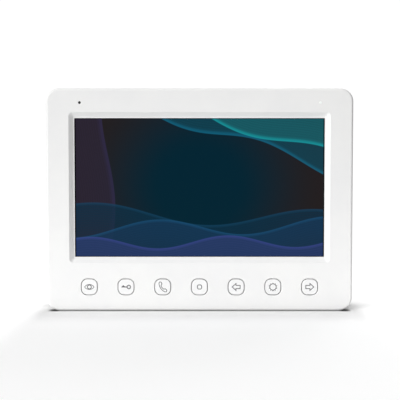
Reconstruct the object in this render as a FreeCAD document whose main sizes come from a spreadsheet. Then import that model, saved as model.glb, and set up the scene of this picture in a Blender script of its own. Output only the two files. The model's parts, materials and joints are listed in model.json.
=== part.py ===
# A wall-mounted video intercom monitor: a white two-shell casing with a 7 inch display, seven push keys,
# a loudspeaker, a microphone, its circuit boards, and the steel bracket that it hangs on.
#
# The frame: +X is to the right of somebody facing the monitor, +Z is up, and the monitor faces -Y. The
# origin is the middle of the bracket's four wall screws, on the wall. A "level" is a distance forwards from
# the wall, so a point at level 5 has Y = -5. All sizes are millimetres.
import FreeCAD, Part
import math
import os
import re
import Sketcher
from FreeCAD import Placement, Rotation, Vector

DIMENSIONS = {
    # casing
    "body_width": 190,
    "body_height": 138,
    "body_depth": 22,
    "corner_radius": 8,
    "front_round": 1.5,
    "edge_break": 0.25,
    "seam_round": 0.3,
    "side_wall": 2.4,
    "face_wall": 2.2,
    "parting": 9,
    "back_level": 0.6,
    "back_wall": 2,
    "back_chamfer": 4,
    "back_round": 1,
    "tongue_wall": 1.3,
    "tongue_rise": 1.4,
    "tongue_root": 2.2,
    "tongue_gap": 0.15,
    # display picture, window and the recess round it
    "picture_width": 154.2,
    "picture_height": 85.9,
    "picture_z": 7.6,
    "window_margin_x": 0.55,
    "window_margin_z": 0.2,
    "window_corner": 0.4,
    "foot_margin": 1,
    "ledge_thickness": 0.9,
    "bevel_width": 2.8,
    "recess_corner": 2.6,
    "seat_width": 167,
    "seat_height": 102,
    # display module
    "module_width": 165,
    "module_height": 100,
    "module_z": 5.45,
    "module_depth": 5.7,
    "gasket_thickness": 0.5,
    "gasket_band": 3.4,
    "steel_sheet": 0.3,
    "polariser_margin": 1.4,
    "polariser_thickness": 0.2,
    "glass_thickness": 0.5,
    "glass_ledge": 4,
    "film_thickness": 0.2,
    "guide_thickness": 2.8,
    "tray_sheet": 0.6,
    "mould_gap": 0.1,
    "mould_wall": 1.9,
    "stack_gap": 0.2,
    "lamp_space": 1.8,
    "lamp_length": 3,
    "lamp_pitch": 7.6,
    "flex_x": -63,
    "flex_width": 30,
    "flex_thickness": 0.2,
    "flex_slack": 0.65,
    "flex_bend": 1,
    # clamps that hold the display module
    "clamp_x": 86.6,
    "clamp_upper_z": 32,
    "clamp_lower_z": -20,
    "clamp_post_radius": 2.4,
    "clamp_length": 10.5,
    "clamp_width": 8,
    "clamp_sheet": 1,
    "clamp_reach": 3,
    # keys
    "key_pitch": 22.85,
    "key_z": -54.1,
    "key_size": 9.5,
    "key_corner": 3.5,
    "key_gap": 0.5,
    "key_proud": 0.15,
    "key_round": 0.3,
    "flange_size": 12.4,
    "flange_corner": 2,
    "flange_thickness": 1,
    "flange_gap": 0.1,
    "collar_gap": 0.35,
    "collar_wall": 1,
    "collar_depth": 2.4,
    "stem_radius": 2,
    # tactile switches under the keys
    "switch_size": 6,
    "switch_height": 3.4,
    "switch_well": 1.7,
    "plunger_radius": 1.6,
    "plunger_rise": 0.9,
    "plunger_sunk": 1.2,
    "lead_span": 8.4,
    "lead_width": 0.7,
    "lead_sheet": 0.3,
    "lead_z": 2.25,
    "key_board_level": 13.5,
    "key_board_width": 152,
    "key_board_height": 13,
    "key_board_thickness": 1.4,
    "key_post_radius": 2.3,
    # main board
    "board_width": 160,
    "board_bottom_z": 1,
    "board_top_z": 65,
    "board_level": 8.8,
    "board_thickness": 1.6,
    "board_corner": 2,
    "board_post_radius": 2.8,
    "board_upper_x": 58,
    "board_upper_z": 60.5,
    "board_lower_x": 74,
    "board_lower_z": 14,
    "board_hole_radius": 1.6,
    # parts on the boards
    "connector_height": 1.6,
    "connector_depth": 5,
    "lcd_connector_width": 34,
    "ribbon_connector_width": 12,
    "ribbon_x": 44,
    "ribbon_width": 9,
    "ribbon_thickness": 0.25,
    "ribbon_level": 9.6,
    "cell_radius": 6.2,
    "cell_thickness": 2,
    "cell_x": -18,
    "cell_z": 50,
    "clip_sheet": 0.3,
    "clip_width": 4,
    "clip_gap": 0.2,
    "capacitor_radius": 3.15,
    "capacitor_height": 5.4,
    "capacitor_x": -60,
    "inductor_size": 7.3,
    "inductor_height": 3.6,
    # cable sockets
    "socket_pitch": 2.5,
    "socket_ends": 4.9,
    "socket_wall": 0.8,
    "socket_height": 4.9,
    "socket_length": 7,
    "socket_mouth_z": -0.9,
    "socket_pocket": 5.6,
    "socket_key": 1.6,
    "pin_size": 0.64,
    "pin_inset": 1,
    "pin_tail": 0.9,
    # cable bay in the back
    "bay_width": 72,
    "bay_top_z": -1,
    "bay_bottom_z": -24,
    "bay_wall": 1.5,
    "bay_floor_level": 11,
    "bay_floor_sheet": 1.2,
    "bay_corner": 2,
    # recess for the bracket
    "recess_width": 94,
    "recess_top_z": 38,
    "recess_bottom_z": -44,
    "recess_level": 1.8,
    "recess_floor": 2,
    "head_pocket_width": 10,
    "head_pocket_top": 5,
    "head_pocket_bottom": 11.3,
    "head_pocket_depth": 2.4,
    "head_pocket_wall": 1.5,
    # wall bracket
    "bracket_width": 92,
    "bracket_height": 74,
    "bracket_sheet": 1.2,
    "bracket_corner": 4,
    "bracket_window_width": 72,
    "bracket_window_height": 46,
    "bracket_window_z": -1,
    "wall_hole_spacing": 60,
    "wall_hole_radius": 2.1,
    "hook_x": 42,
    "hook_width": 6.4,
    "hook_upper_z": 26,
    "hook_lower_z": -22,
    "hook_lip": 5,
    "hook_gap": 0.4,
    "slot_width": 7.2,
    "slot_height": 8.6,
    "slot_gap": 0.05,
    # casing screws
    "screw_x": 84.5,
    "screw_z": 60.5,
    "boss_radius": 3.2,
    "well_radius": 4,
    "well_hole_radius": 3.2,
    "well_seat_level": 6.4,
    "screw_hole_radius": 1.6,
    # loudspeaker
    "speaker_x": 68.5,
    "speaker_z": -28,
    "speaker_radius": 18,
    "speaker_seal": 0.8,
    "speaker_rib_gap": 0.2,
    "speaker_rib_wall": 1,
    "speaker_rib_height": 2.9,
    "cone_radius": 14.5,
    "coil_radius": 3.7,
    "coil_wall": 0.4,
    "magnet_radius": 8.5,
    "magnet_height": 2.8,
    "speaker_wire_x": 66,
    "wire_pitch": 2.6,
    "speaker_wire_radius": 0.5,
    "grille_radius": 14,
    "grille_pitch": 4,
    "grille_slot": 1.6,
    # ventilation slots
    "vent_pitch": 6,
    "vent_width": 2,
    "vent_height": 9,
    "vent_upper_z": 54,
    "vent_lower_z": -56,
    # microphone and status lamp
    "sound_x": -74,
    "lamp_x": 74.6,
    "small_hole_z": 60.2,
    "sound_hole_radius": 0.8,
    "sound_bore_radius": 0.35,
    "nose_sunk": 0.35,
    "boot_radius": 3.2,
    "boot_length": 4.6,
    "boot_lip": 0.8,
    "capsule_radius": 2,
    "capsule_length": 1.5,
    "capsule_gap": 0.05,
    "microphone_lead_pitch": 1.8,
    "microphone_wire_radius": 0.3,
    "pipe_tip_radius": 0.65,
    "pipe_radius": 1.65,
    "pipe_gap": 0.05,
    "pipe_proud": 0.2,
    "pipe_end_level": 11.4,
    "guide_wall": 0.9,
    "guide_depth": 4,
    "led_height": 0.8,
}

# Values worked out from the dimensions above.
DERIVED = {
    "inner_width": "body_width - 2 * side_wall",
    "inner_height": "body_height - 2 * side_wall",
    "inner_corner": "corner_radius - side_wall",
    "back_inside": "back_level + back_wall",
    "face_back": "body_depth - face_wall",
    "seat_level": "face_back - ledge_thickness",
    "module_front": "seat_level - gasket_thickness",
    "module_back": "module_front - module_depth",
    "window_width": "picture_width + 2 * window_margin_x",
    "window_height": "picture_height + 2 * window_margin_z",
    "tray_top": "module_back + tray_sheet",
    "guide_level": "tray_top + film_thickness",
    "film_level": "guide_level + guide_thickness",
    "rear_polariser_level": "film_level + 2 * film_thickness",
    "tft_level": "rear_polariser_level + polariser_thickness",
    "filter_level": "tft_level + glass_thickness",
    "polariser_level": "filter_level + glass_thickness",
    "polariser_width": "picture_width + 2 * polariser_margin",
    "polariser_height": "picture_height + 2 * polariser_margin",
    "mould_width": "module_width - 2 * steel_sheet - 2 * mould_gap",
    "mould_height": "module_height - 2 * steel_sheet - 2 * mould_gap",
    "stack_width": "mould_width - 2 * mould_wall - 2 * stack_gap",
    "stack_height": "mould_height - 2 * mould_wall + 2 * stack_gap",
    "board_front": "board_level + board_thickness",
    "board_z": "(board_top_z + board_bottom_z) / 2",
    "key_hole": "key_size + 2 * key_gap",
    "key_hole_corner": "key_corner + key_gap",
    "flange_front": "face_back - flange_gap",
    "flange_back": "flange_front - flange_thickness",
    "collar_inner": "flange_size + 2 * collar_gap",
    "collar_outer": "collar_inner + 2 * collar_wall",
    "collar_corner": "flange_corner + collar_gap",
    "switch_top": "key_board_level + switch_height",
    "plunger_top": "switch_top + plunger_rise",
    "key_board_back": "key_board_level - key_board_thickness",
    "recess_z": "(recess_top_z + recess_bottom_z) / 2",
    "recess_height": "recess_top_z - recess_bottom_z",
    "recess_inside": "recess_level + recess_floor",
    "bay_z": "(bay_top_z + bay_bottom_z) / 2",
    "bay_height": "bay_top_z - bay_bottom_z",
    "well_top": "parting - 0.1",
    "lip_back": "recess_inside + hook_gap",
    "lip_front": "lip_back + bracket_sheet",
    "rim_level": "back_inside + speaker_seal",
    "rim_back": "rim_level + 0.8",
    "basket_back": "rim_back + 3.2",
}

KEYS = ["key_view", "key_unlock", "key_talk", "key_menu", "key_left", "key_settings", "key_right"]
FRONT = Rotation(Vector(1, 0, 0), 90)  # turns a shape made upwards so that it stands out from the wall

doc = FreeCAD.newDocument("VideoIntercomMonitor")
sheet = doc.addObject("Spreadsheet::Sheet", "Dims")
for line, (alias, number) in enumerate(DIMENSIONS.items(), 1):
    sheet.set(f"A{line}", alias.replace("_", " "))
    sheet.set(f"B{line}", str(number))
    sheet.setAlias(f"B{line}", alias)
doc.recompute()
nodes = []


# ---- formulas ------------------------------------------------------------------------------------------


def bound(formula):
    """The formula with derived values written out and each dimension pointing at its cell."""

    def swap(match):
        name = match[0]
        if name in DERIVED:
            return f"({bound(DERIVED[name])})"
        return "Dims." + name if name in DIMENSIONS else name

    return re.sub("[a-z_]+", swap, formula)


def value(formula):
    """The formula's number."""
    return float(sheet.evalExpression(bound(formula)))


def bind(thing, name, formula):
    """Binds a property to a formula of the sheet's cells."""
    thing.setExpression(name, bound(formula))


# ---- sketches ------------------------------------------------------------------------------------------


def origin_plane(body, role):
    return next(o for o in body.Origin.OriginFeatures if o.Role == role)


def sketch_on(body, name, role, offsets):
    """An empty sketch on one of the body's origin planes, moved by formulas along the plane's own axes."""
    sketch = body.newObject("Sketcher::SketchObject", name)
    sketch.AttachmentSupport = [(origin_plane(body, role), "")]
    sketch.MapMode = "FlatFace"
    for axis, formula in zip("xyz", offsets):
        bind(sketch, "AttachmentOffset.Base." + axis, formula)
    return sketch


def sketch_at(body, name, level, x="0", z="0"):
    """A sketch parallel to the wall, with its own origin at x, z. Its axes are x and z."""
    return sketch_on(body, name, "XZ_Plane", (x, z, level))


def constrain(sketch, kind, *places, formula=None):
    if formula is None:
        sketch.addConstraint(Sketcher.Constraint(kind, *places))
        return
    number = sketch.addConstraint(Sketcher.Constraint(kind, *places, value(formula)))
    bind(sketch, f"Constraints[{number}]", formula)


def fix_point(sketch, item, vertex, u, v):
    """Ties a vertex to the formulas u and v of the sketch's own axes."""
    for kind, formula, axis in (("DistanceX", u, -2), ("DistanceY", v, -1)):
        if value(formula) == 0:
            constrain(sketch, "PointOnObject", item, vertex, axis)
        else:
            constrain(sketch, kind, -1, 1, item, vertex, formula=formula)


def rounded(sketch, width, height, radius, x="0", z="0"):
    """A rectangle with four round corners, centred on x, z."""
    w, h, r = value(width) / 2, value(height) / 2, value(radius)
    middle = Vector(value(x), value(z), 0)
    ends = [
        ((r - w, h), (w - r, h)),
        ((w, h - r), (w, r - h)),
        ((w - r, -h), (r - w, -h)),
        ((-w, r - h), (-w, h - r)),
    ]
    corners = [(w - r, h - r), (w - r, r - h), (r - w, r - h), (r - w, h - r)]
    lines = [
        sketch.addGeometry(Part.LineSegment(Vector(*a, 0) + middle, Vector(*b, 0) + middle)) for a, b in ends
    ]
    arcs = []
    for (u, v), start in zip(corners, (0, -90, -180, 90)):
        circle = Part.Circle(Vector(u, v, 0) + middle, Vector(0, 0, 1), r)
        arc = Part.ArcOfCircle(circle, math.radians(start), math.radians(start + 90))
        arcs.append(sketch.addGeometry(arc))
    for i in range(4):
        constrain(sketch, "Tangent", lines[i], 2, arcs[i], 2)
        constrain(sketch, "Tangent", arcs[i], 1, lines[(i + 1) % 4], 1)
        constrain(sketch, "Vertical" if i % 2 else "Horizontal", lines[i])
    for arc in arcs[1:]:
        constrain(sketch, "Equal", arcs[0], arc)
    constrain(sketch, "Radius", arcs[0], formula=radius)
    constrain(sketch, "DistanceX", lines[3], 1, lines[1], 1, formula=width)
    constrain(sketch, "DistanceY", lines[2], 1, lines[0], 1, formula=height)
    centre = -1
    if (x, z) != ("0", "0"):
        centre = sketch.addGeometry(Part.Point(middle), True)
        fix_point(sketch, centre, 1, x, z)
    constrain(sketch, "Symmetric", arcs[1], 3, arcs[3], 3, centre, 1)
    return sketch


def outline(sketch, points):
    """A closed outline of straight lines, each corner given by two formulas."""
    corners = [Vector(value(u), value(v), 0) for u, v in points]
    lines = [
        sketch.addGeometry(Part.LineSegment(a, b)) for a, b in zip(corners, corners[1:] + corners[:1])
    ]
    for line, following, (u, v) in zip(lines, lines[1:] + lines[:1], points):
        constrain(sketch, "Coincident", line, 2, following, 1)
        fix_point(sketch, line, 1, u, v)
    return sketch


def rectangle(sketch, left, bottom, right, top):
    """A rectangle with sharp corners, from its four sides."""
    return outline(sketch, [(left, bottom), (right, bottom), (right, top), (left, top)])


def circles(sketch, radius, places):
    """Circles of one radius at several places."""
    for x, z in places:
        circle = sketch.addGeometry(
            Part.Circle(Vector(value(x), value(z), 0), Vector(0, 0, 1), value(radius))
        )
        constrain(sketch, "Radius", circle, formula=radius)
        fix_point(sketch, circle, 3, x, z)
    return sketch


def four(x, z):
    """The four places that mirror x, z left to right and top to bottom."""
    return [(x, z), ("-" + x, z), (x, "-" + z), ("-" + x, "-" + z)]


def pair(x, z):
    return [(x, z), (f"-({x})", z)]


# ---- features ------------------------------------------------------------------------------------------


def new_body(label):
    body = doc.addObject("PartDesign::Body", "Body")
    body.Label = label
    return body


def pad(body, sketch, length, backwards=False):
    """Adds the sketch's shape from its level forwards, or backwards to the wall."""
    feature = body.newObject("PartDesign::Pad", "Pad")
    feature.Profile = sketch
    feature.Reversed = backwards
    bind(feature, "Length", length)
    doc.recompute()
    return feature


def pocket(body, sketch, depth):
    """Cuts the sketch's shape from its level backwards to the wall."""
    before = body.Shape.Volume
    feature = body.newObject("PartDesign::Pocket", "Pocket")
    feature.Profile = sketch
    bind(feature, "Length", depth)
    doc.recompute()
    if body.Shape.Volume > before - 1e-6:
        raise RuntimeError(f"{sketch.Label} of {body.Label} cuts nothing")
    return feature


def in_a_row(body, features, sketch, pitch, count):
    """Repeats features to the right of the first, a pitch apart."""
    pattern = body.newObject("PartDesign::LinearPattern", "Row")
    pattern.Originals = features
    pattern.Direction = (sketch, ["H_Axis"])
    bind(pattern, "Length", f"{count - 1} * {pitch}")
    pattern.Occurrences = count
    body.Tip = pattern
    doc.recompute()
    return pattern


def edges_on(body, level, low=(-1e3, -1e3), high=(1e3, 1e3)):
    """Names of the body's edges that lie on a level, inside a box of x and z."""
    y, names = -value(level), []
    for number, edge in enumerate(body.Shape.Edges, 1):
        box = edge.BoundBox
        flat = abs(box.YMin - y) < 1e-4 and abs(box.YMax - y) < 1e-4
        inside = box.XMin > low[0] and box.ZMin > low[1] and box.XMax < high[0] and box.ZMax < high[1]
        if flat and inside:
            names.append(f"Edge{number}")
    return names


def ease(body, kind, names, size):
    """A Fillet or Chamfer of the named edges."""
    eased = body.Tip
    feature = body.newObject("PartDesign::" + kind, kind)
    feature.Base = (eased, names)
    bind(feature, "Radius" if kind == "Fillet" else "Size", size)
    doc.recompute()
    return feature


def node(thing, label=None):
    """Marks an object as one of the assembly's pieces, which is written to its own file."""
    if label:
        thing.Label = label
    nodes.append(thing)
    return thing


def group(label, members):
    """Separate solids that make up one piece's node."""
    compound = doc.addObject("Part::Compound", "Group")
    compound.Links = members
    return node(compound, label)


def block(label, x, z, level, width, height, depth):
    """A plain box: centred on x, z, standing out from a level."""
    box = doc.addObject("Part::Box", "Box")
    box.Label = label
    box.Placement = Placement(Vector(), FRONT)
    for name, formula in (("Length", width), ("Width", height), ("Height", depth)):
        bind(box, name, formula)
    bind(box, "Placement.Base.x", f"{x} - ({width}) / 2")
    bind(box, "Placement.Base.y", f"-({level})")
    bind(box, "Placement.Base.z", f"{z} - ({height}) / 2")
    return box


def drum(label, x, z, level, radius, depth):
    """A plain cylinder whose axis stands out from the wall."""
    cylinder = doc.addObject("Part::Cylinder", "Cylinder")
    cylinder.Label = label
    cylinder.Placement = Placement(Vector(), FRONT)
    bind(cylinder, "Radius", radius)
    bind(cylinder, "Height", depth)
    bind(cylinder, "Placement.Base.x", x)
    bind(cylinder, "Placement.Base.y", f"-({level})")
    bind(cylinder, "Placement.Base.z", z)
    return cylinder


def cut(base, tool):
    feature = doc.addObject("Part::Cut", "Cut")
    feature.Base, feature.Tool = base, tool
    return feature


def fuse(parts):
    feature = doc.addObject("Part::MultiFuse", "Fuse")
    feature.Shapes = parts
    return feature


def sheet_piece(label, width, height, corner, level, thickness, z="0", hole=None):
    """A flat sheet parallel to the wall, with an optional hole: its width, height, corner and z."""
    body = new_body(label)
    sketch = rounded(sketch_at(body, "Outline", level), width, height, corner, "0", z)
    if hole:
        rounded(sketch, *hole[:3], "0", hole[3])
    pad(body, sketch, thickness)
    return node(body)


def turned(label, x, z, profile):
    """A turned piece: a closed profile of (radius, level) pairs, about an axis through x, z."""
    body = new_body(label)
    sketch = sketch_on(body, "Profile", "XY_Plane", (x, "0", z))
    outline(sketch, [(radius, f"-({level})") for radius, level in profile])
    feature = body.newObject("PartDesign::Revolution", "Turned")
    feature.Profile = sketch
    feature.ReferenceAxis = (sketch, ["V_Axis"])
    feature.Angle = 360
    doc.recompute()
    return body


def screw(label, x, z, seat, facing, head, shank, length):
    """A cross-head screw. Its head stands from the seat level forwards (facing "+") or backwards ("-")."""
    other = "-" if facing == "+" else "+"
    rise = f"{head} * 0.7"
    top = f"{seat} {facing} {rise}"
    body = turned(
        label,
        x,
        z,
        [
            ("0", top),
            (f"{head} * 0.7", top),
            (head, f"{seat} {facing} {head} * 0.35"),
            (head, seat),
            (shank, seat),
            (shank, f"{seat} {other} ({length} - {shank})"),
            ("0", f"{seat} {other} {length}"),
        ],
    )
    recess = f"{head} * 0.35"
    cut_from = top if facing == "+" else f"{top} + {recess}"
    for width, height in ((f"{head} * 1.1", f"{head} * 0.24"), (f"{head} * 0.24", f"{head} * 1.1")):
        sketch = sketch_at(body, "CrossRecess", cut_from, x, z)
        rectangle(sketch, f"-{width} / 2", f"-{height} / 2", f"{width} / 2", f"{height} / 2")
        pocket(body, sketch, recess)
    return body


def screws(label, places, seat, facing, head, shank, length):
    """Identical screws that share one node."""
    members = [
        screw(f"{label}_{i}", x, z, seat, facing, head, shank, length) for i, (x, z) in enumerate(places, 1)
    ]
    return group(label, members)


# ---- leads ---------------------------------------------------------------------------------------------


def route(points, largest):
    """A wire of straight runs joined by tangent arcs, each as large as its runs allow up to a largest."""
    share = 0.45  # of the shorter run
    edges, start = [], points[0]
    for before, corner, after in zip(points, points[1:], points[2:]):
        back, on = before - corner, after - corner
        turn = math.pi - back.getAngle(on)
        radius = min(largest, share * min(back.Length, on.Length) / math.tan(turn / 2))
        cut_off = radius * math.tan(turn / 2)
        back.normalize()
        on.normalize()
        towards = (back + on).normalize()
        first, last = corner + back * cut_off, corner + on * cut_off
        middle = corner + towards * (radius / math.cos(turn / 2) - radius)
        edges.append(Part.LineSegment(start, first).toShape())
        edges.append(Part.Arc(first, middle, last).toShape())
        start = last
    edges.append(Part.LineSegment(start, points[-1]).toShape())
    return Part.Wire(edges)


def swept(label, points, section, largest=1e3):
    """A lead of a constant section along a route of (x, z, level) points. Its volume is checked."""
    path = route([Vector(x, -level, z) for x, z, level in points], largest)
    shape = path.makePipeShell([section], True, False)
    area = Part.Face(section).Area
    if abs(shape.Volume / (area * path.Length) - 1) > 0.02:
        raise RuntimeError(f"{label} has the wrong volume")
    piece = doc.addObject("Part::Feature", "Lead")
    piece.Label = label
    piece.Shape = shape
    return piece


def round_wire(point, radius):
    """The section of a round lead that starts straight out from the wall or back to it."""
    x, z, level = point
    return Part.Wire(Part.makeCircle(radius, Vector(x, -level, z), Vector(0, 1, 0)))


def flat_strip(point, width, thickness):
    """The section of a flat lead that starts along z. Its width lies along x."""
    x, z, level = point
    corners = [(-1, -1), (1, -1), (1, 1), (-1, 1), (-1, -1)]
    places = [Vector(x + u * width / 2, -level + v * thickness / 2, z) for u, v in corners]
    return Part.makePolygon(places)


# ---- casing --------------------------------------------------------------------------------------------


def front_housing():
    """The front shell: the white face with the display window, the key holes, and every post behind it."""
    body = new_body("front_housing")
    face = rounded(sketch_at(body, "Outline", "parting"), "body_width", "body_height", "corner_radius")
    pad(body, face, "body_depth - parting")
    ease(body, "Fillet", edges_on(body, "body_depth"), "front_round")
    ease(body, "Fillet", edges_on(body, "parting"), "seam_round")

    hollow = sketch_at(body, "HollowRoundSeat", "face_back")
    rounded(hollow, "inner_width", "inner_height", "inner_corner")
    rounded(hollow, "seat_width", "seat_height", "window_corner", "0", "module_z")
    pocket(body, hollow, "ledge_thickness")
    hollow = sketch_at(body, "Hollow", "seat_level")
    rounded(hollow, "inner_width", "inner_height", "inner_corner")
    pocket(body, hollow, "seat_level - parting")

    window_recess(body)
    key_openings(body)
    for x, radius in (("sound_x", "sound_hole_radius"), ("lamp_x", "pipe_tip_radius + pipe_gap")):
        hole = circles(sketch_at(body, "SmallHole", "body_depth"), radius, [(x, "small_hole_z")])
        pocket(body, hole, "face_wall")
    for x, radius, depth in (
        ("sound_x", "boot_radius + pipe_gap", "boot_length - 0.4"),
        ("lamp_x", "pipe_radius + pipe_gap", "guide_depth"),
    ):
        guide = sketch_at(body, "Guide", "face_back")
        for edge in (radius, f"{radius} + guide_wall"):
            circles(guide, edge, [(x, "small_hole_z")])
        pad(body, guide, depth, backwards=True)

    post(body, four("screw_x", "screw_z"), "boss_radius", "parting", "1.3", "9")
    clamps = pair("clamp_x", "clamp_upper_z") + pair("clamp_x", "clamp_lower_z")
    post(body, clamps, "clamp_post_radius", "module_back", "1", "5")
    post(body, key_board_places(), "key_post_radius", "key_board_level", "0.9", "4")

    edge_x, edge_z = value("body_width / 2 - 4"), value("body_height / 2 - 4")
    names = edges_on(body, "body_depth", (-edge_x, -edge_z), (value("lamp_x - 3"), edge_z))
    ease(body, "Fillet", names, "edge_break")
    return node(body)


def window_recess(body):
    """The sloping recess round the display, the ledge at its foot and the window through it."""
    rim = sketch_at(body, "RecessRim", "body_depth")
    foot = sketch_at(body, "RecessFoot", "face_back")
    inner = [f"picture_{side} + 2 * foot_margin" for side in ("width", "height")]
    outer = [side + " + 2 * bevel_width" for side in inner]
    rounded(rim, *outer, "recess_corner", "0", "picture_z")
    rounded(foot, *inner, "window_corner", "0", "picture_z")
    loft = body.newObject("PartDesign::SubtractiveLoft", "Recess")
    loft.Profile = rim
    loft.Sections = [foot]
    loft.Ruled = True
    doc.recompute()
    window = sketch_at(body, "Window", "body_depth")
    rounded(window, "window_width", "window_height", "window_corner", "0", "picture_z")
    pocket(body, window, "face_wall + ledge_thickness")


def key_openings(body):
    """Seven key holes through the face, each with a square collar behind it that guides the key's flange."""
    first = "-3 * key_pitch"
    opening = sketch_at(body, "KeyHole", "body_depth")
    rounded(opening, "key_hole", "key_hole", "key_hole_corner", first, "key_z")
    hole = pocket(body, opening, "face_wall")
    in_a_row(body, [hole], opening, "key_pitch", len(KEYS))
    collar = sketch_at(body, "KeyCollar", "face_back")
    rounded(collar, "collar_outer", "collar_outer", "collar_corner + collar_wall", first, "key_z")
    rounded(collar, "collar_inner", "collar_inner", "collar_corner", first, "key_z")
    ring = pad(body, collar, "collar_depth", backwards=True)
    in_a_row(body, [ring], collar, "key_pitch", len(KEYS))


def post(body, places, radius, end_level, pilot_radius, pilot_depth):
    """Posts from the back of the face down to a level, each with a screw's pilot hole in its end."""
    sketch = circles(sketch_at(body, "Posts", "face_back"), radius, places)
    pad(body, sketch, f"face_back - {end_level}", backwards=True)
    pilot = circles(sketch_at(body, "Pilots", f"{end_level} + {pilot_depth}"), pilot_radius, places)
    pocket(body, pilot, pilot_depth)


def key_board_places():
    return pair("key_pitch / 2", "key_z") + pair("5 * key_pitch / 2", "key_z")


def board_places():
    return pair("board_upper_x", "board_upper_z") + pair("board_lower_x", "board_lower_z")


def rear_housing():
    """The rear shell: chamfered back, bracket recess with hook slots, cable bay, grille, vents and posts."""
    body = new_body("rear_housing")
    shape = rounded(sketch_at(body, "Outline", "back_level"), "body_width", "body_height", "corner_radius")
    pad(body, shape, "parting - back_level")
    ease(body, "Fillet", edges_on(body, "parting"), "seam_round")
    ease(body, "Chamfer", edges_on(body, "back_level"), "back_chamfer")
    ease(body, "Fillet", edges_on(body, "back_level"), "back_round")

    hollow = sketch_at(body, "Hollow", "parting")
    rounded(hollow, "inner_width", "inner_height", "inner_corner")
    pocket(body, hollow, "parting - back_inside")
    ease(body, "Chamfer", edges_on(body, "back_inside"), "back_chamfer * 0.85")
    tongue(body)
    bracket_recess(body)
    cable_bay(body)
    hook_slots(body)

    wells = four("screw_x", "screw_z")
    sketch = circles(sketch_at(body, "Wells", "back_level"), "well_radius", wells)
    pad(body, sketch, "well_top - back_level")
    sketch = circles(sketch_at(body, "WellBores", "well_seat_level"), "well_hole_radius", wells)
    pocket(body, sketch, "well_seat_level - back_level")
    sketch = circles(sketch_at(body, "ScrewHoles", "well_top"), "screw_hole_radius", wells)
    pocket(body, sketch, "well_top - well_seat_level")

    sketch = circles(sketch_at(body, "BoardPosts", "back_inside"), "board_post_radius", board_places())
    pad(body, sketch, "board_level - back_inside")
    sketch = circles(sketch_at(body, "BoardPilots", "board_level"), "1", board_places())
    pocket(body, sketch, "5")

    speaker_seat(body)
    for z in ("vent_upper_z", "vent_lower_z"):
        vent = sketch_at(body, "Vent", "back_inside")
        rounded(vent, "vent_width", "vent_height", "vent_width * 0.49", "-6 * vent_pitch", z)
        slot = pocket(body, vent, "back_wall")
        in_a_row(body, [slot], vent, "vent_pitch", 13)
    return node(body)


def tongue(body):
    """The lip that stands into the front shell all the way round, thickened below the parting line."""
    inner = [f"inner_{side} - 2 * tongue_wall" for side in ("width", "height")]
    root = sketch_at(body, "TongueRoot", "parting - tongue_root")
    rounded(root, "inner_width + 0.4", "inner_height + 0.4", "inner_corner + 0.2")
    rounded(root, *inner, "inner_corner - tongue_wall")
    pad(body, root, "tongue_root")
    lip = sketch_at(body, "TongueLip", "parting")
    outer = [f"inner_{side} - 2 * tongue_gap" for side in ("width", "height")]
    rounded(lip, *outer, "inner_corner - tongue_gap")
    rounded(lip, *inner, "inner_corner - tongue_wall")
    pad(body, lip, "tongue_rise")


def bracket_recess(body):
    """A shallow recess in the back for the bracket, with pockets that clear the wall screws' heads."""
    raised = sketch_at(body, "RaisedFloor", "back_inside")
    rounded(raised, "recess_width + 4", "recess_height + 4", "bracket_corner + 2", "0", "recess_z")
    pad(body, raised, "recess_inside - back_inside")
    middle = "{} + (head_pocket_top - head_pocket_bottom) / 2"
    for z in ("wall_hole_spacing / 2", "-wall_hole_spacing / 2"):
        domes = sketch_at(body, "HeadDomes", "back_inside")
        for x in ("wall_hole_spacing / 2", "-wall_hole_spacing / 2"):
            rounded(
                domes,
                "head_pocket_width + 2 * head_pocket_wall",
                "head_pocket_top + head_pocket_bottom + 2 * head_pocket_wall",
                "4",
                x,
                middle.format(z),
            )
        pad(body, domes, "recess_level + head_pocket_depth + head_pocket_wall - back_inside")
    sunk = sketch_at(body, "Recess", "recess_level")
    rounded(sunk, "recess_width", "recess_height", "bracket_corner", "0", "recess_z")
    pocket(body, sunk, "recess_level - back_level")
    for z in ("wall_hole_spacing / 2", "-wall_hole_spacing / 2"):
        heads = sketch_at(body, "HeadPockets", "recess_level + head_pocket_depth")
        for x in ("wall_hole_spacing / 2", "-wall_hole_spacing / 2"):
            rounded(
                heads, "head_pocket_width", "head_pocket_top + head_pocket_bottom", "3", x, middle.format(z)
            )
        pocket(body, heads, "head_pocket_depth")


def cable_bay(body):
    """A deep bay, open to the back, where the cables from the wall turn up into their sockets."""
    walls = sketch_at(body, "BayWalls", "back_inside")
    rounded(
        walls, "bay_width + 2 * bay_wall", "bay_height + 2 * bay_wall", "bay_corner + bay_wall", "0", "bay_z"
    )
    pad(body, walls, "bay_floor_level + bay_floor_sheet - back_inside")
    inside = sketch_at(body, "Bay", "bay_floor_level")
    rounded(inside, "bay_width", "bay_height", "bay_corner", "0", "bay_z")
    pocket(body, inside, "bay_floor_level - back_level")
    gate = sketch_at(body, "SocketGate", "board_level + 0.1")
    side = "bay_width / 2 - 0.3"
    rectangle(gate, f"-({side})", "bay_top_z - 1", side, "bay_top_z + bay_wall + 0.1")
    pocket(body, gate, "socket_height + 0.2")


def hook_slots(body):
    """Four slots in the recess floor. Each slot's top edge hangs on a hook of the bracket."""
    slots = sketch_at(body, "HookSlots", "recess_inside")
    for x in ("hook_x", "-hook_x"):
        for z in ("hook_upper_z", "hook_lower_z"):
            rounded(slots, "slot_width", "slot_height", "0.6", x, f"{z} + slot_gap - slot_height / 2")
    pocket(body, slots, "recess_floor")


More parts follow.
